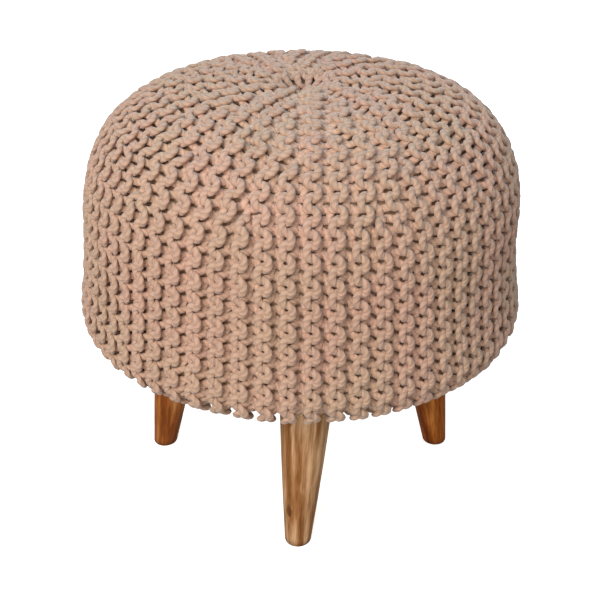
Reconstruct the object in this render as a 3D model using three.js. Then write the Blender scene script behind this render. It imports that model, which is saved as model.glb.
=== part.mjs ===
// A round footstool: a filled seat under a chunky knitted cover, a round board
// set into its underside, and four turned wooden legs that splay outwards.
// Millimetres, +Z up. The origin is on the floor, under the middle of the seat,
// and the front leg stands towards -Y.

import * as THREE from "three";

// Driving dimensions: the seat.
const overallHeight = 405; // floor to the crown's highest ring
const shoulderRadius = 203; // side of the cover below the crown
const widestRadius = 210; // side of the cover just above its lower edge
const crownFoot = 219; // floor to where the crown becomes the upright side
const flareTop = 282; // floor to where the side starts to widen downwards
const widestHeight = 190; // floor to the widest ring
const undersideHeight = 167; // floor to the lowest ring of the cover
const crownSquareness = 3.5; // superellipse exponent: 2 is an ellipse, more is squarer
const lowerRoundWidth = 34; // how far in the lower edge has turned when it faces down
const gatherDepth = 5; // dip where the ridges are drawn together on top
const gatherRadius = 24; // spread of that dip
const hemDip = 3; // how much lower the cover's edge hangs on its loose side
const hemDipAzimuth = 55; // degrees from the front leg, towards +X
const lipHeight = 60; // the dip fades out this far above the lower edge

// Driving dimensions: the board.
const boardRadius = 158;
const boardThickness = 12;
const boardInset = 3; // the board's underside lies this far above the lowest ring

// Driving dimensions: the legs.
const footDiameter = 25;
const legTopDiameter = 51;
const legSwell = 0.8; // how far the middle of a leg's side stands outside a straight taper
const footChamfer = 1.5;
const legs = [
  // azimuth is in degrees from -Y towards +X; the foot stands at footReach from the
  // middle and footShift to the side of its radius, because hand-fitted legs vary
  { name: "leg_front", azimuth: 0, footReach: 154, topReach: 126, footShift: -2, topShift: 7 },
  { name: "leg_right", azimuth: 90, footReach: 147, topReach: 119, footShift: 0, topShift: 0 },
  { name: "leg_back", azimuth: 180, footReach: 149, topReach: 121, footShift: 0, topShift: 0 },
  { name: "leg_left", azimuth: 270, footReach: 147, topReach: 119, footShift: 2, topShift: 0 },
];

const clearance = 0.3; // between pieces that rest on each other
const seatSegments = 96;
const boardSegments = 72;
const legSegments = 40;

const radians = THREE.MathUtils.degToRad;
const boardUnderside = undersideHeight + boardInset;
const boardTop = boardUnderside + boardThickness;

function cottonKnit() {
  return new THREE.MeshStandardMaterial({ color: 0xc3a491, roughness: 0.95, metalness: 0 });
}

function oiledWood() {
  return new THREE.MeshStandardMaterial({ color: 0xa56c37, roughness: 0.5, metalness: 0 });
}

function plywood() {
  return new THREE.MeshStandardMaterial({ color: 0xb89a72, roughness: 0.8, metalness: 0 });
}

// A solid of revolution about +Z from [radius, height] pairs.
function turned(profile, segments) {
  const points = profile.map(([radius, height]) => new THREE.Vector2(radius, height));
  return new THREE.LatheGeometry(points, segments).rotateX(Math.PI / 2);
}

// The side widens gently downwards, so a ring's radius grows below the flare's top.
function flared([radius, height]) {
  const share = THREE.MathUtils.smoothstep(flareTop - height, 0, flareTop - widestHeight);
  return [radius * THREE.MathUtils.lerp(1, widestRadius / shoulderRadius, share), height];
}

// The crown: a superellipse from the upright side to the middle, with the gather's dip.
function crownRing(angle) {
  const rise = overallHeight - crownFoot;
  const across = Math.pow(Math.cos(angle) / shoulderRadius, crownSquareness);
  const up = Math.pow(Math.sin(angle) / rise, crownSquareness);
  const reach = Math.pow(across + up, -1 / crownSquareness);
  const radius = reach * Math.cos(angle);
  const dip = gatherDepth * Math.exp(-Math.pow(radius / gatherRadius, 2));
  return flared([radius, crownFoot + reach * Math.sin(angle) - dip]);
}

// The lower edge: a quarter ellipse from the widest ring to the lowest one.
function lowerRing(angle) {
  const drop = widestHeight - undersideHeight;
  return [
    widestRadius - lowerRoundWidth * (1 - Math.cos(angle)),
    widestHeight - drop * Math.sin(angle),
  ];
}

function coverProfile() {
  const crownSteps = 22;
  const lowerSteps = 6;
  const profile = [[0, boardTop + clearance]];
  profile.push([boardRadius + clearance, boardTop + clearance]);
  profile.push([boardRadius + clearance, undersideHeight + boardInset / 2]);
  profile.push([boardRadius + 4, undersideHeight]);
  for (let i = lowerSteps; i >= 0; i -= 1) {
    profile.push(lowerRing((i / lowerSteps) * (Math.PI / 2)));
  }
  profile.push(flared([shoulderRadius, (widestHeight + crownFoot) / 2]));
  for (let i = 0; i < crownSteps; i += 1) {
    profile.push(crownRing((i / crownSteps) * (Math.PI / 2)));
  }
  profile.push([0, overallHeight - gatherDepth]);
  return profile;
}

// The cover hangs a little lower on one side, where it is less tightly drawn.
function dipHem(geometry) {
  const position = geometry.attributes.position;
  const towards = radians(hemDipAzimuth);
  for (let i = 0; i < position.count; i += 1) {
    const x = position.getX(i);
    const y = position.getY(i);
    const z = position.getZ(i);
    const radius = Math.hypot(x, y);
    const onLip = radius > boardRadius + 2 * clearance;
    const fade = THREE.MathUtils.smoothstep(undersideHeight + lipHeight - z, 0, lipHeight);
    const side = onLip ? (1 + Math.cos(Math.atan2(x, -y) - towards)) / 2 : 0;
    position.setZ(i, z - hemDip * fade * side * side);
  }
  return geometry;
}

function knitCover() {
  const mesh = new THREE.Mesh(dipHem(turned(coverProfile(), seatSegments)), cottonKnit());
  mesh.name = "knit_cover";
  return mesh;
}

function baseBoard() {
  const profile = [
    [0, boardUnderside],
    [boardRadius - 1, boardUnderside],
    [boardRadius, boardUnderside + 1],
    [boardRadius, boardTop],
    [0, boardTop],
  ];
  const mesh = new THREE.Mesh(turned(profile, boardSegments), plywood());
  mesh.name = "base_board";
  return mesh;
}

// A tapered leg, leaning so that its end faces stay level with the floor and the board.
function leg({ name, azimuth, footReach, topReach, footShift, topShift }) {
  const length = boardUnderside - clearance;
  const steps = 4;
  const profile = [[0, 0], [footDiameter / 2 - footChamfer, 0]];
  for (let i = 0; i <= steps; i += 1) {
    const along = i / steps;
    const height = footChamfer + along * (length - footChamfer);
    const taper = THREE.MathUtils.lerp(footDiameter, legTopDiameter, along) / 2;
    profile.push([taper + legSwell * Math.sin(Math.PI * along), height]);
  }
  profile.push([0, length]);

  const leanOut = (topReach - footReach) / length;
  const leanAside = (topShift - footShift) / length;
  const lean = new THREE.Matrix4().makeShear(0, 0, 0, 0, leanAside, -leanOut);
  const geometry = turned(profile, legSegments).applyMatrix4(lean);
  geometry.translate(footShift, -footReach, 0);

  const mesh = new THREE.Mesh(geometry, oiledWood());
  mesh.name = name;
  mesh.rotation.z = radians(azimuth);
  return mesh;
}

const footstool = new THREE.Group();
footstool.add(knitCover(), baseBoard(), ...legs.map(leg));

export default footstool;
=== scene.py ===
"""Looks of a round footstool: a filled seat under a thick garter-stitch cover, on four
turned wooden legs. Metres, +Z up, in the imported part's own frame."""

import math

import bpy
import numpy as np
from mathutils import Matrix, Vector


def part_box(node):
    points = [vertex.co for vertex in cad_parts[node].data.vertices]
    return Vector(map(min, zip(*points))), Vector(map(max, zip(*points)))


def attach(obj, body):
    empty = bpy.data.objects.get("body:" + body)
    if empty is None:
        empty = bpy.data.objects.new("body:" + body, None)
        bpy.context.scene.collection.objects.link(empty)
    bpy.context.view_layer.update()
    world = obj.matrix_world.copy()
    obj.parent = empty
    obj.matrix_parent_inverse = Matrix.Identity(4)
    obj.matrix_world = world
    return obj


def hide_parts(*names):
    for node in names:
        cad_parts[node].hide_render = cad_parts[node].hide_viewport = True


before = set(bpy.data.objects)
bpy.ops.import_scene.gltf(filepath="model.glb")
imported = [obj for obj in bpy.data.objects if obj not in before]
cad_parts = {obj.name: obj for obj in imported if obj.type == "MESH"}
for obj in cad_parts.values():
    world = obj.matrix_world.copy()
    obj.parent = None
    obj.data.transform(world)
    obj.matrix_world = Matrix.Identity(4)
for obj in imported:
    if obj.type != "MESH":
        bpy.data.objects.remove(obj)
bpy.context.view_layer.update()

MM = 0.001

# The knit: rows of stitches run from the gather on top to the underside.
WEDGES = 11
RIDGES_IN_WEDGE = 6
WEDGES_IN_PIECE = 2
STITCH = 18.6 * MM  # along a row
RIDGE_SPACING = 19 * MM  # room a ridge takes on the crown, where short rows end
LENGTH_RANK = (0, 3, 1, 5, 2, 4)  # each ridge's place in its wedge by length, longest first
CORD_WIDTH = 6.6 * MM  # the soft cord is squeezed flat against the cover
CORD_THICKNESS = 4.4 * MM
GATHER_RADIUS = 8 * MM  # where the longest rows are drawn together
GATHER_STAGGER = 11 * MM  # purl rows stop this much further out
GATHER_SPREAD = 45 * MM  # the rows run straight inside this radius
FLATTEST = 0.5  # share of the relief left at the gather and at the rows' lower ends
CROWN_FLATTENED = 250 * MM  # the loops are pulled flatter the nearer they lie to the gather
HEM_FLATTENED = 50 * MM  # and the nearer they lie to their lower ends
TUCK_LENGTH = 18 * MM  # a short row dives under its neighbours over this length
TUCK_DEPTH = 8 * MM
SPREAD_LENGTH = 46 * MM  # its neighbours part for it over this length
SPREAD_LEAD = 0.3  # share of that length which lies before the row's own start
STEPS_IN_STITCH = 20
CORD_SIDES = 8
PLIES = 3
TWISTS_IN_METRE = 70.0
WOBBLE_STEPS = 30  # points of a row between two knots of its wobble
END_CLEARANCE = 3 * MM  # rows stop this far short of the cover's own edge
STRIP_SHARE = 0.94  # of a row's band in the bake's picture, the rest is a gap

# One stitch of a knit row. Lengths across the rows are shares of a ridge, two rows wide.
ROW_OFFSET = 0.25  # a row's middle line from its ridge's
LOOP_REACH = 0.465
LOOP_BULGE = 2.65 * MM
LOOP_RELIEF = 4.8 * MM
LOOP_DOUBLE_RELIEF = 1.35 * MM
LOOP_TRIPLE_RELIEF = -1.2 * MM
LOOP_DROOP = 0.28  # how far a loop sags down the cover for each step it stands out
PURL_SAG = -1.1 * MM  # how far the purl rows have slipped down against the knit rows
FILLING_DEPTH = 12.5 * MM  # under the cover's surface, where the loops aren't flattened
FILLING_RINGS = 90
FILLING_SEGMENTS = 132
FILLING_CLEARANCE = 0.3 * MM  # over the board
CREST = LOOP_RELIEF + LOOP_DOUBLE_RELIEF + LOOP_TRIPLE_RELIEF + CORD_THICKNESS / 2

SEAT_MIDDLE = 250 * MM
HEM_FADE = 60 * MM  # the hem's dip dies out this far above the lowest ring
SHOULDER_FULLNESS = 4 * MM  # the filling pushes the shoulder out towards +X
SHOULDER_STARTS = 255 * MM
SHOULDER_FULL = 310 * MM
HEM_FULLNESS = 3 * MM  # the filling pushes the lower edge out all round
HEM_FULL_BELOW = 190 * MM
HEM_FULL_ENDS = 230 * MM


def smoothstep(x):
    x = np.clip(x, 0, 1)
    return x * x * (3 - 2 * x)


def mesh_points(node):
    co = np.zeros(len(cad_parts[node].data.vertices) * 3)
    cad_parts[node].data.vertices.foreach_get("co", co)
    return co.reshape(-1, 3)


class Outline:
    """The cover's profile from the middle of the top to the underside, and its hem's dip."""

    def __init__(self):
        points = mesh_points("knit_cover")
        radius = np.hypot(points[:, 0], points[:, 1])
        azimuth = np.arctan2(points[:, 0], -points[:, 1])
        board_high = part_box("base_board")[1]
        edge = board_high.x + 2 * MM
        outer = radius > edge
        lowest = points[outer, 2].min()
        self.dip_azimuth = azimuth[outer][np.argmin(points[outer, 2])]
        away = np.cos(azimuth - self.dip_azimuth) < -0.995
        top = radius < MM
        above_board = points[:, 2] > board_high.z + MM
        kept = (away & (above_board | outer)) | (top & (points[:, 2] > SEAT_MIDDLE))
        r, z = radius[kept], points[kept, 2]
        order = np.argsort(-np.arctan2(z - SEAT_MIDDLE, r - 100 * MM))
        r, z = r[order], z[order]
        fresh = np.append(True, np.hypot(np.diff(r), np.diff(z)) > 0.5 * MM)
        r, z = r[fresh], z[fresh]
        self.dip = z.min() - lowest
        self.low = z.min()
        run = np.append(0, np.cumsum(np.hypot(np.diff(r), np.diff(z))))
        self.length = run[-1]
        self.s = np.linspace(0, self.length, 600)
        self.r = self.smoothed(run, r)
        self.z = self.smoothed(run, z)
        dr, dz = np.gradient(self.r, self.s), np.gradient(self.z, self.s)
        size = np.hypot(dr, dz)
        self.nr, self.nz = -dz / size, dr / size

    def smoothed(self, run, values):
        """A curve through the profile's points, then a light running average."""
        slope = np.gradient(values, run)
        i = np.clip(np.searchsorted(run, self.s, "right") - 1, 0, len(run) - 2)
        step = run[i + 1] - run[i]
        t = (self.s - run[i]) / step
        line = (1 + 2 * t) * (1 - t) ** 2 * values[i] + t**2 * (3 - 2 * t) * values[i + 1]
        line += (t * (1 - t) ** 2 * slope[i] - t**2 * (1 - t) * slope[i + 1]) * step
        reach = 6
        window = np.hanning(2 * reach + 1)
        window /= window.sum()
        before = 2 * line[0] - line[reach:0:-1]
        beyond = 2 * line[-1] - line[-2 : -reach - 2 : -1]
        mirrored = np.concatenate([before, line, beyond])
        return np.convolve(mirrored, window, "valid")

    def place(self, s, azimuth, out):
        """Points at arc s from the top's middle, standing out from the cover's surface."""
        inside = np.clip(s, 0, self.length)
        nr, nz = np.interp(inside, self.s, self.nr), np.interp(inside, self.s, self.nz)
        r, z = np.interp(inside, self.s, self.r), np.interp(inside, self.s, self.z)
        low = smoothstep((HEM_FULL_ENDS - z) / (HEM_FULL_ENDS - HEM_FULL_BELOW))
        out = out + HEM_FULLNESS * nr * low
        towards_x = np.maximum(np.sin(azimuth), 0) ** 3
        high = smoothstep((z - SHOULDER_STARTS) / (SHOULDER_FULL - SHOULDER_STARTS))
        out = out + SHOULDER_FULLNESS * towards_x * nr * high
        r, z = r + nr * out, z + nz * out
        side = (1 + np.cos(azimuth - self.dip_azimuth)) / 2
        z = z - self.dip * side**2 * smoothstep((self.low + HEM_FADE - z) / HEM_FADE)
        return np.stack([r * np.sin(azimuth), -r * np.cos(azimuth), z], -1)

    def normal(self, s, azimuth):
        nr, nz = np.interp(s, self.s, self.nr), np.interp(s, self.s, self.nz)
        return np.stack([nr * np.sin(azimuth), -nr * np.cos(azimuth), nz], -1)


outline = Outline()
rng = np.random.default_rng(11)


def new_mesh_object(name, verts, faces):
    mesh = bpy.data.meshes.new(name)
    mesh.from_pydata(verts.tolist(), [], faces)
    mesh.shade_smooth()
    piece = bpy.data.objects.new(name, mesh)
    bpy.context.scene.collection.objects.link(piece)
    return piece


def grid_faces(rows, columns, first):
    """Quads between neighbouring rings of a tube that closes on itself."""
    i = np.arange(rows - 1)[:, None]
    j = np.arange(columns)[None, :]
    k = (j + 1) % columns
    quads = np.stack([i * columns + j, i * columns + k, (i + 1) * columns + k, (i + 1) * columns + j], -1)
    return first + quads.reshape(-1, 4)


def cap_faces(rows, columns):
    """Triangles that close a tube's two ends; their middles are the two points after its rings."""
    first_middle = rows * columns
    last_ring = first_middle - columns
    caps = []
    for i in range(columns):
        after = (i + 1) % columns
        caps.append([first_middle, after, i])
        caps.append([first_middle + 1, last_ring + i, last_ring + after])
    return caps


# ---- where each row lies -------------------------------------------------------------


def ridge_starts():
    """Arc from the top's middle at which each ridge of a wedge begins."""
    starts = [GATHER_RADIUS]
    for more in range(1, RIDGES_IN_WEDGE):
        radius = WEDGES * (more + 0.5) * RIDGE_SPACING / (2 * math.pi)
        starts.append(float(np.interp(radius, outline.r[:300], outline.s[:300])))
    return [starts[rank] for rank in LENGTH_RANK]


STARTS = ridge_starts()


def ridge_shares(s):
    """How much of its wedge each ridge takes at arc s, and where its middle lies in it."""
    weights = np.stack([smoothstep((s - start) / SPREAD_LENGTH + SPREAD_LEAD) for start in STARTS])
    weights[0] = 1.0
    total = weights.sum(0)
    middles = (np.cumsum(weights, 0) - weights / 2) / total
    return weights / total, middles


def knit_loop(u):
    """A knit row's centre line after u stitches: along the row, across it, out of it."""
    turn = 2 * math.pi * u
    along = STITCH * u + LOOP_BULGE * np.sin(2 * turn)
    waves = np.cos(turn), np.cos(2 * turn), np.cos(3 * turn)
    across = LOOP_REACH * waves[0]
    out = LOOP_RELIEF * waves[0] + LOOP_DOUBLE_RELIEF * waves[1] + LOOP_TRIPLE_RELIEF * waves[2]
    return along, across, out


def purl_loop(u):
    """A purl row is a knit row turned over, half a stitch on."""
    along, across, out = knit_loop(u + 0.5)
    return along - STITCH / 2 + PURL_SAG, -across, out


def wavering(count, size):
    """A slow seeded wobble along a row."""
    knots = rng.normal(0, size, count // WOBBLE_STEPS + 3)
    return np.interp(np.arange(count) / WOBBLE_STEPS, np.arange(len(knots)), knots)


def wave_field(count, size, steepest):
    """A smooth seeded field over the cover, as waves round it and down it."""
    waves = []
    for _ in range(count):
        turns = int(rng.integers(1, 9))
        steepness = rng.uniform(-1, 1) * steepest
        phase = rng.uniform(0, 2 * math.pi)
        waves.append((turns, steepness, phase, size / math.sqrt(count)))
    return waves


DRIFT_ALONG = wave_field(7, 2.4 * MM, 25)
DRIFT_ASIDE = wave_field(7, 1.2 * MM, 14)


def drift(field, along, azimuth):
    """How far a field moves the stitches at each place."""
    moved = 0.0
    for turns, steepness, phase, size in field:
        moved = moved + size * np.cos(turns * azimuth + steepness * along + phase)
    return moved


def relief_left(along):
    """Share of the loops' relief that is left at each place along a row."""
    slack = smoothstep(along / CROWN_FLATTENED) * smoothstep((outline.length - along) / HEM_FLATTENED)
    return FLATTEST + (1 - FLATTEST) * slack


def row_path(wedge, ridge, purl):
    """The centre line of one row's cord, the cover's normal along it, and where it stands out."""
    start = STARTS[ridge]
    if purl and LENGTH_RANK[ridge] == 0:
        start += GATHER_STAGGER
    first = math.ceil(start / STITCH * 2) / 2
    last = (outline.length - END_CLEARANCE) / STITCH
    count = int((last - first) * STEPS_IN_STITCH)
    u = first + np.arange(count) / STEPS_IN_STITCH
    along, across, out = purl_loop(u) if purl else knit_loop(u)
    lift = np.clip(0.5 + out / (2 * LOOP_RELIEF), 0, 1)
    steepness = 1 - np.abs(np.interp(along, outline.s, outline.nz))
    along = along + LOOP_DROOP * steepness * out + wavering(count, 0.5 * MM)
    out = relief_left(along) * out + wavering(count, 0.35 * MM) - CREST
    shares, middles = ridge_shares(along)
    row_offset = ROW_OFFSET if purl else -ROW_OFFSET
    place = middles[ridge] + shares[ridge] * (row_offset + across)
    azimuth = (wedge + place) * 2 * math.pi / WEDGES
    out = out - TUCK_DEPTH * (1 - smoothstep((along - start) / TUCK_LENGTH))
    settled = smoothstep((along - GATHER_RADIUS) / GATHER_SPREAD)
    aside = drift(DRIFT_ASIDE, along, azimuth) + wavering(count, 0.3 * MM)
    along = along + settled * drift(DRIFT_ALONG, along, azimuth)
    azimuth = azimuth + settled * aside / np.maximum(np.interp(along, outline.s, outline.r), 50 * MM)
    return outline.place(along, azimuth, out), outline.normal(along, azimuth), lift


def cord_rings(path, surface_normal):
    """Rings of points round a row's centre line, flattened against the cover."""
    tangent = np.gradient(path, axis=0)
    tangent /= np.linalg.norm(tangent, axis=1)[:, None]
    aside = np.cross(tangent, surface_normal)
    aside /= np.linalg.norm(aside, axis=1)[:, None]
    outward = np.cross(aside, tangent)
    angle = np.arange(CORD_SIDES) * 2 * math.pi / CORD_SIDES
    spokes = CORD_WIDTH / 2 * np.cos(angle)[None, :, None] * aside[:, None]
    spokes += CORD_THICKNESS / 2 * np.sin(angle)[None, :, None] * outward[:, None]
    run = np.append(0, np.cumsum(np.linalg.norm(np.diff(path, axis=0), axis=1)))
    from_end = np.clip(np.minimum(run, run[-1] - run) / (CORD_WIDTH / 2), 0.002, 1)
    rounded = np.sqrt(from_end * (2 - from_end))
    return path[:, None] + rounded[:, None, None] * spokes


def knit_piece(name, wedges):
    """The rows of some wedges as one mesh, each row a strip of the bake's picture."""
    verts, faces, uv, tone, lifts = [], [], [], [], []
    first = 0
    rows = [(w, r, p) for w in wedges for r in range(RIDGES_IN_WEDGE) for p in (False, True)]
    for number, (wedge, ridge, purl) in enumerate(rows):
        path, surface_normal, lift = row_path(wedge, ridge, purl)
        rings = cord_rings(path, surface_normal)
        verts.append(rings.reshape(-1, 3))
        quads = grid_faces(len(path), CORD_SIDES, first)
        faces.append(quads)
        run = np.append(0, np.cumsum(np.linalg.norm(np.diff(path, axis=0), axis=1)))
        i = np.repeat(np.arange(len(path) - 1), CORD_SIDES)
        j = np.tile(np.arange(CORD_SIDES), len(path) - 1)
        corners_u = np.stack([run[i], run[i], run[i + 1], run[i + 1]], -1)
        corners_v = (number + np.stack([j, j + 1, j + 1, j], -1) / CORD_SIDES * STRIP_SHARE) / len(rows)
        uv.append(np.stack([corners_u, corners_v], -1).reshape(-1, 2))
        tone.append(np.full(rings.shape[0] * CORD_SIDES, rng.uniform()))
        lifts.append(np.repeat(lift, CORD_SIDES))
        first += rings.shape[0] * CORD_SIDES
    piece = new_mesh_object(name, np.concatenate(verts), np.concatenate(faces).tolist())
    uv = np.concatenate(uv)
    cord = piece.data.uv_layers.new(name="Cord")
    turns = np.stack([uv[:, 0], (uv[:, 1] * len(rows)) % 1 / STRIP_SHARE], -1)
    cord.data.foreach_set("uv", turns.ravel())
    bake = piece.data.uv_layers.new(name="OFBake")
    strips = np.stack([uv[:, 0] / uv[:, 0].max(), uv[:, 1]], -1)
    bake.data.foreach_set("uv", strips.ravel())
    shade = piece.data.attributes.new("row_tone", "FLOAT", "POINT")
    shade.data.foreach_set("value", np.concatenate(tone).astype(np.float32))
    raised = piece.data.attributes.new("lift", "FLOAT", "POINT")
    raised.data.foreach_set("value", np.concatenate(lifts).astype(np.float32))
    return piece


# ---- filling -------------------------------------------------------------------------


def filling():
    """The stuffed inside, seen only at the bottom of the stitches."""
    board_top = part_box("base_board")[1].z + FILLING_CLEARANCE
    segments = FILLING_SEGMENTS
    s = np.linspace(2 * MM, outline.length, FILLING_RINGS)
    azimuth = np.arange(segments) * 2 * math.pi / segments
    depth = CREST + relief_left(s) * (FILLING_DEPTH - CREST)
    depth += TUCK_DEPTH * (1 - smoothstep(s / GATHER_SPREAD))
    grid = outline.place(s[:, None], azimuth[None, :], -depth[:, None])
    grid[..., 2] = np.maximum(grid[..., 2], board_top)
    centres = [[0, 0, grid[0, :, 2].mean()], [0, 0, board_top]]
    verts = np.concatenate([grid.reshape(-1, 3), centres])
    faces = grid_faces(len(s), segments, 0).tolist() + cap_faces(len(s), segments)
    return new_mesh_object("filling", verts, faces)


# ---- materials -----------------------------------------------------------------------


def new_material(name):
    material = bpy.data.materials.new(name)
    material.use_nodes = True
    tree = material.node_tree
    return material, tree, tree.nodes["Principled BSDF"]


def add(tree, kind, **settings):
    node = tree.nodes.new(kind)
    for key, value in settings.items():
        if key in node.inputs:
            node.inputs[key].default_value = value
        else:
            setattr(node, key, value)
    return node


def ramp(tree, factor, stops):
    node = tree.nodes.new("ShaderNodeValToRGB")
    elements = node.color_ramp.elements
    while len(elements) < len(stops):
        elements.new(0.5)
    for element, (position, colour) in zip(elements, stops):
        element.position = position
        element.color = (*colour, 1)
    tree.links.new(factor, node.inputs["Fac"])
    return node.outputs["Color"]


def blended(tree, kind, factor, a, b):
    node = tree.nodes.new("ShaderNodeMix")
    node.data_type = "RGBA"
    node.blend_type = kind
    for socket, value in ((node.inputs["Factor"], factor), (node.inputs[6], a), (node.inputs[7], b)):
        if isinstance(value, bpy.types.NodeSocket):
            tree.links.new(value, socket)
        elif isinstance(value, tuple):
            socket.default_value = (*value, 1)
        else:
            socket.default_value = value
    return node.outputs[2]


def half_wave(tree, wave):
    """A cosine's output brought from -1..1 to 0..1."""
    node = add(tree, "ShaderNodeMath", operation="MULTIPLY_ADD")
    tree.links.new(wave.outputs[0], node.inputs[0])
    node.inputs[1].default_value = 0.5
    node.inputs[2].default_value = 0.5
    return node.outputs[0]


def cotton_cord():
    """Soft plied cotton: helical plies, fine fibres and slow changes of dye; the grooves between the
    plies and the loops' crests carry painted shade.
    """
    material, tree, surface = new_material("cotton_cord")
    link = tree.links.new
    place = add(tree, "ShaderNodeTexCoord")
    cord = add(tree, "ShaderNodeUVMap", uv_map="Cord")
    tone = add(tree, "ShaderNodeAttribute", attribute_name="row_tone")

    dye = add(tree, "ShaderNodeTexNoise", Scale=16.0, Detail=2.0, Roughness=0.5)
    link(place.outputs["Object"], dye.inputs["Vector"])
    dyed = ramp(tree, dye.outputs["Fac"], [(0.38, (0.725, 0.448, 0.33)), (0.62, (0.69, 0.455, 0.318))])
    rows = ramp(tree, tone.outputs["Fac"], [(0.0, (0.93, 0.93, 0.93)), (1.0, (1.0, 1.0, 1.0))])
    toned = blended(tree, "MULTIPLY", 1.0, dyed, rows)
    # Painted light and shade: the loops' crests are painted up to 16% darker than the valleys between the
    # rows, so the valleys, which lie in shade, read about as bright as the crests.
    lift = add(tree, "ShaderNodeAttribute", attribute_name="lift")
    painted_crest_shade = ramp(tree, lift.outputs["Fac"], [(0.2, (1.0, 1.0, 1.0)), (0.9, (0.84, 0.84, 0.84))])
    base = blended(tree, "MULTIPLY", 1.0, toned, painted_crest_shade)

    split = add(tree, "ShaderNodeSeparateXYZ")
    link(cord.outputs["UV"], split.inputs[0])
    twist = add(tree, "ShaderNodeMath", operation="MULTIPLY")
    link(split.outputs["X"], twist.inputs[0])
    twist.inputs[1].default_value = TWISTS_IN_METRE
    turned = add(tree, "ShaderNodeMath", operation="ADD")
    link(twist.outputs[0], turned.inputs[0])
    link(split.outputs["Y"], turned.inputs[1])
    plies = add(tree, "ShaderNodeMath", operation="MULTIPLY")
    link(turned.outputs[0], plies.inputs[0])
    plies.inputs[1].default_value = PLIES * 2 * math.pi
    wave = add(tree, "ShaderNodeMath", operation="COSINE")
    link(plies.outputs[0], wave.inputs[0])

    # Painted shade: the grooves between the plies are painted darker, where shade falls between them.
    ply_groove_shade = ramp(tree, half_wave(tree, wave), [(0.0, (0.80, 0.76, 0.72)), (0.45, (1.0, 1.0, 1.0))])
    plied = blended(tree, "MULTIPLY", 1.0, base, ply_groove_shade)
    fibre = add(tree, "ShaderNodeTexNoise", Scale=900.0, Detail=3.0, Roughness=0.6)
    link(place.outputs["Object"], fibre.inputs["Vector"])
    fibred = ramp(tree, fibre.outputs["Fac"], [(0.3, (0.86, 0.86, 0.86)), (0.7, (1.0, 1.0, 1.0))])
    link(blended(tree, "MULTIPLY", 1.0, plied, fibred), surface.inputs["Base Color"])

    height = add(tree, "ShaderNodeMath", operation="MULTIPLY_ADD")
    link(wave.outputs[0], height.inputs[0])
    height.inputs[1].default_value = 0.5
    link(fibre.outputs["Fac"], height.inputs[2])
    bump = add(tree, "ShaderNodeBump", Strength=0.6, Distance=0.0007)
    link(height.outputs[0], bump.inputs["Height"])
    link(bump.outputs["Normal"], surface.inputs["Normal"])
    surface.inputs["Roughness"].default_value = 0.95
    surface.inputs["Specular IOR Level"].default_value = 0.2
    surface.inputs["Sheen Weight"].default_value = 0.3
    return material


def shade_painted_filling_cloth():
    material, tree, surface = new_material("filling_cloth")
    place = add(tree, "ShaderNodeTexCoord")
    weave = add(tree, "ShaderNodeTexNoise", Scale=500.0, Detail=2.0)
    tree.links.new(place.outputs["Object"], weave.inputs["Vector"])
    # Painted shade: the filling is painted a dark brown, darker than the cord, for the shade deep in the
    # holes between the stitches.
    colour = ramp(tree, weave.outputs["Fac"], [(0.3, (0.31, 0.175, 0.10)), (0.7, (0.42, 0.25, 0.15))])
    tree.links.new(colour, surface.inputs["Base Color"])
    surface.inputs["Roughness"].default_value = 0.95
    return material


def oiled_wood():
    """Oiled hardwood: broad streaks along the leg, fine grain, pores and small knots, with painted shade
    on the legs that stand in shade and at the feet's bottom edges.
    """
    material, tree, surface = new_material("oiled_wood")
    link = tree.links.new
    grain = add(tree, "ShaderNodeAttribute", attribute_name="grain")
    tone = add(tree, "ShaderNodeAttribute", attribute_name="leg_light_share")

    def figure(scale, **settings):
        stretch = add(tree, "ShaderNodeMapping")
        stretch.inputs["Scale"].default_value = scale
        link(grain.outputs["Vector"], stretch.inputs["Vector"])
        noise = add(tree, "ShaderNodeTexNoise", Scale=1.0, **settings)
        link(stretch.outputs["Vector"], noise.inputs["Vector"])
        return noise.outputs["Fac"]

    streaks = figure((62.0, 62.0, 5.0), Detail=3.0, Roughness=0.5, Distortion=0.8)
    # Painted shade: the lit honey wood is blended with a darker russet copy of it, by each leg's share of
    # light.
    honey = ramp(tree, streaks, HONEY)
    shaded_russet = ramp(tree, streaks, SHADED_RUSSET)
    colour = blended(tree, "MIX", tone.outputs["Fac"], shaded_russet, honey)
    lines = figure((170.0, 170.0, 7.0), Detail=3.0, Roughness=0.6)
    lined = ramp(tree, lines, [(0.40, (0.60, 0.52, 0.42)), (0.56, (1.0, 1.0, 1.0))])
    colour = blended(tree, "MULTIPLY", 0.9, colour, lined)
    pores = figure((700.0, 700.0, 30.0), Detail=3.0)
    pored = ramp(tree, pores, [(0.36, (0.62, 0.54, 0.46)), (0.55, (1.0, 1.0, 1.0))])
    colour = blended(tree, "MULTIPLY", 0.6, colour, pored)
    flecks = figure((95.0, 95.0, 45.0), Detail=1.0)
    flecked = ramp(tree, flecks, [(0.24, (0.35, 0.28, 0.2)), (0.31, (1.0, 1.0, 1.0))])
    colour = blended(tree, "MULTIPLY", 0.8, colour, flecked)
    # Painted shade: the lowest few millimetres of each leg are painted darker, for the shade where the
    # foot meets the floor.
    place = add(tree, "ShaderNodeTexCoord")
    split = add(tree, "ShaderNodeSeparateXYZ")
    link(place.outputs["Object"], split.inputs[0])
    painted_foot_shade = ramp(tree, split.outputs["Z"], [(0.0015, (0.45, 0.38, 0.32)), (0.006, (1.0, 1.0, 1.0))])
    link(blended(tree, "MULTIPLY", 1.0, colour, painted_foot_shade), surface.inputs["Base Color"])

    bump = add(tree, "ShaderNodeBump", Strength=0.25, Distance=0.0004)
    link(pores, bump.inputs["Height"])
    link(bump.outputs["Normal"], surface.inputs["Normal"])
    surface.inputs["Roughness"].default_value = 0.55
    surface.inputs["Specular IOR Level"].default_value = 0.1
    return material


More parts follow.
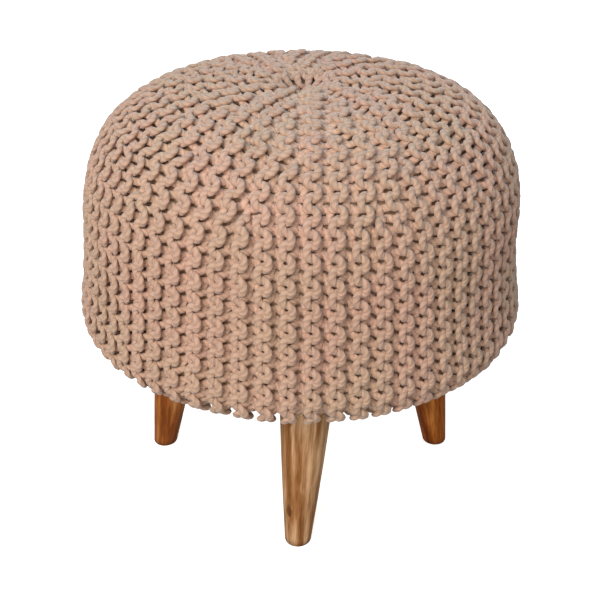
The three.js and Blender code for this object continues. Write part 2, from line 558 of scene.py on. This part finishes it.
def plywood():
    material, tree, surface = new_material("plywood")
    place = add(tree, "ShaderNodeTexCoord")
    stretch = add(tree, "ShaderNodeMapping")
    stretch.inputs["Scale"].default_value = (90.0, 7.0, 40.0)
    tree.links.new(place.outputs["Object"], stretch.inputs["Vector"])
    bands = add(tree, "ShaderNodeTexNoise", Scale=1.0, Detail=5.0, Distortion=0.4)
    tree.links.new(stretch.outputs["Vector"], bands.inputs["Vector"])
    stops = [(0.3, (0.38, 0.24, 0.12)), (0.7, (0.55, 0.39, 0.22))]
    tree.links.new(ramp(tree, bands.outputs["Fac"], stops), surface.inputs["Base Color"])
    surface.inputs["Roughness"].default_value = 0.75
    return material


# ---- legs ----------------------------------------------------------------------------

HONEY = [(0.36, (0.25, 0.106, 0.035)), (0.5, (0.42, 0.20, 0.077)), (0.62, (0.70, 0.44, 0.25))]
SHADED_RUSSET = [(0.36, (0.24, 0.05, 0.004)), (0.5, (0.40, 0.10, 0.006)), (0.62, (0.55, 0.18, 0.022))]
# Painted shade: the legs that stand in shade are painted darker and redder. 0 is the russet, shaded copy
# of the wood, 1 is its lit honey colour.
LEG_LIGHT_SHARES = {"leg_front": 0.95, "leg_right": 0.08, "leg_back": 0.6, "leg_left": 0.3}
LEG_RINGS = 40
LEG_SEGMENTS = 64
ROUNDING = 1.8 * MM  # height of a foot's rounded edge
UNEVENNESS = 0.006  # share of a leg's radius by which hand turning varies


def leg_rings(name):
    """Height, middle and radius of each ring of a CAD leg, from the foot up."""
    points = mesh_points(name)
    tenths = np.round(points[:, 2] / (0.1 * MM)).astype(int)
    rings = []
    for level in np.unique(tenths):
        ring = points[tenths == level]
        middle = (ring.min(0) + ring.max(0)) / 2
        radius = np.hypot(ring[:, 0] - middle[0], ring[:, 1] - middle[1]).max()
        rings.append((level * 0.1 * MM, middle[0], middle[1], radius))
    return np.array(rings)


def turned_leg(name):
    """The CAD leg's own rings, spun finer, with a rounded foot and a little unevenness."""
    rings = leg_rings(name)
    foot, side = rings[0], rings[1:]
    height = rings[-1, 0]
    z = np.concatenate([[0.0, ROUNDING / 3], np.linspace(ROUNDING, height, LEG_RINGS)])
    x, y, radius = (np.interp(z, side[:, 0], side[:, column]) for column in (1, 2, 3))
    radius[0] = foot[3]
    radius[1] = (foot[3] + side[0, 3]) / 2 + 0.3 * MM
    segments = LEG_SEGMENTS
    angle = np.arange(segments) * 2 * math.pi / segments
    uneven = 1 + UNEVENNESS * np.sin(2 * angle[None] + 9 * z[:, None])
    ring_x = x[:, None] + radius[:, None] * uneven * np.cos(angle)
    ring_y = y[:, None] + radius[:, None] * uneven * np.sin(angle)
    grid = np.stack([ring_x, ring_y, np.repeat(z[:, None], segments, 1)], -1)
    ends = [[x[0], y[0], 0.0], [x[-1], y[-1], height]]
    verts = np.concatenate([grid.reshape(-1, 3), ends])
    faces = grid_faces(len(z), segments, 0).tolist() + cap_faces(len(z), segments)
    piece = new_mesh_object(name + "_turned", verts, faces)

    middle_x, middle_y = np.interp(verts[:, 2], z, x), np.interp(verts[:, 2], z, y)
    timber = verts - np.stack([middle_x, middle_y, np.zeros(len(verts))], -1) + rng.uniform(0, 1, 3)
    grain = piece.data.attributes.new("grain", "FLOAT_VECTOR", "POINT")
    grain.data.foreach_set("vector", timber.astype(np.float32).ravel())
    shade = piece.data.attributes.new("leg_light_share", "FLOAT", "POINT")
    shade.data.foreach_set("value", np.full(len(verts), LEG_LIGHT_SHARES[name], np.float32))
    return piece


# ---- assembly ------------------------------------------------------------------------


def build_object():
    cord = cotton_cord()
    groups = [range(w, min(w + WEDGES_IN_PIECE, WEDGES)) for w in range(0, WEDGES, WEDGES_IN_PIECE)]
    for number, wedges in enumerate(groups):
        piece = knit_piece(f"knit_rows_{number + 1}", wedges)
        piece.data.materials.append(cord)
        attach(piece, "root")
    inside = filling()
    inside.data.materials.append(shade_painted_filling_cloth())
    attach(inside, "root")
    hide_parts("knit_cover")
    wood = oiled_wood()
    for name in LEG_LIGHT_SHARES:
        leg = turned_leg(name)
        leg.data.materials.append(wood)
        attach(leg, "root")
        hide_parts(name)
    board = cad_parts["base_board"]
    board.data.materials.clear()
    board.data.materials.append(plywood())


FLOOR_FLAT = 4.0  # radius of the level part
FLOOR_CURVE = 1.5  # radius of the bend between the floor and the wall
WALL_TOP = 4.0
FLOOR_SEGMENTS = 48


def build_stage():
    """A pale floor that curves up all round, so the ground and the background are one tone."""
    bend = np.linspace(0, math.pi / 2, 9)
    curved = FLOOR_FLAT + FLOOR_CURVE * np.sin(bend)
    radius = np.concatenate([[0.5, 2.0], curved, [FLOOR_FLAT + FLOOR_CURVE]])
    height = np.concatenate([[0.0, 0.0], FLOOR_CURVE * (1 - np.cos(bend)), [WALL_TOP]])
    segments = FLOOR_SEGMENTS
    angle = np.arange(segments) * 2 * math.pi / segments
    across = radius[:, None] * np.cos(angle)
    along = radius[:, None] * np.sin(angle)
    grid = np.stack([across, along, np.repeat(height[:, None], segments, 1)], -1)
    faces = grid_faces(len(radius), segments, 0)[:, ::-1].tolist() + [list(range(segments))]
    floor = new_mesh_object("floor", grid.reshape(-1, 3), faces)
    material, _, surface = new_material("pale_floor")
    surface.inputs["Base Color"].default_value = (0.93, 0.93, 0.93, 1)
    surface.inputs["Roughness"].default_value = 0.9
    surface.inputs["Emission Color"].default_value = (1, 1, 1, 1)
    surface.inputs["Emission Strength"].default_value = 0.7
    floor.data.materials.append(material)
    floor.visible_diffuse = False
    floor.visible_glossy = False
    floor.visible_shadow = False


def area_light(name, azimuth, elevation, distance, size, power, colour):
    """A square lamp aimed at the seat; its azimuth is in degrees from -Y towards -X."""
    turn, rise = math.radians(azimuth), math.radians(elevation)
    seat = Vector((0, 0, SEAT_MIDDLE))
    towards = Vector((-math.sin(turn) * math.cos(rise), -math.cos(turn) * math.cos(rise), math.sin(rise)))
    light = bpy.data.lights.new(name, "AREA")
    light.size = size
    light.energy = power
    light.color = colour
    lamp = bpy.data.objects.new(name, light)
    lamp.location = seat + distance * towards
    lamp.rotation_euler = (-towards).to_track_quat("-Z", "Y").to_euler()
    bpy.context.scene.collection.objects.link(lamp)


WARM = (1.0, 0.96, 0.91)
COOL = (0.14, 0.60, 1.0)
AMBIENT = 0.36


def build_lights():
    world = bpy.data.worlds.new("studio")
    bpy.context.scene.world = world
    world.use_nodes = True
    world.node_tree.nodes["Background"].inputs["Color"].default_value = (1, 1, 1, 1)
    world.node_tree.nodes["Background"].inputs["Strength"].default_value = AMBIENT
    area_light("key", 28, 34, 1.9, 1.0, 27, (1.0, 0.97, 0.92))
    area_light("fill", 0, 20, 1.9, 1.0, 7, WARM)
    area_light("top", 190, 80, 2.0, 2.4, 20, COOL)
    area_light("back", 200, 25, 2.2, 1.2, 16, WARM)
    bpy.context.scene.view_settings.view_transform = "Standard"


CAMERA_PLACE = (0, -0.8172, 0.6334)
CAMERA_TILT = 29.35  # degrees below level
CAMERA_LENS = 55.94
CAMERA_SENSOR = 36


def build_camera():
    camera = bpy.data.cameras.new("camera")
    camera.lens = CAMERA_LENS
    camera.sensor_width = CAMERA_SENSOR
    eye = bpy.data.objects.new("camera", camera)
    eye.location = CAMERA_PLACE
    eye.rotation_euler = (math.radians(90 - CAMERA_TILT), 0, 0)
    bpy.context.scene.collection.objects.link(eye)
    bpy.context.scene.camera = eye


build_object()
build_stage()
build_lights()
build_camera()
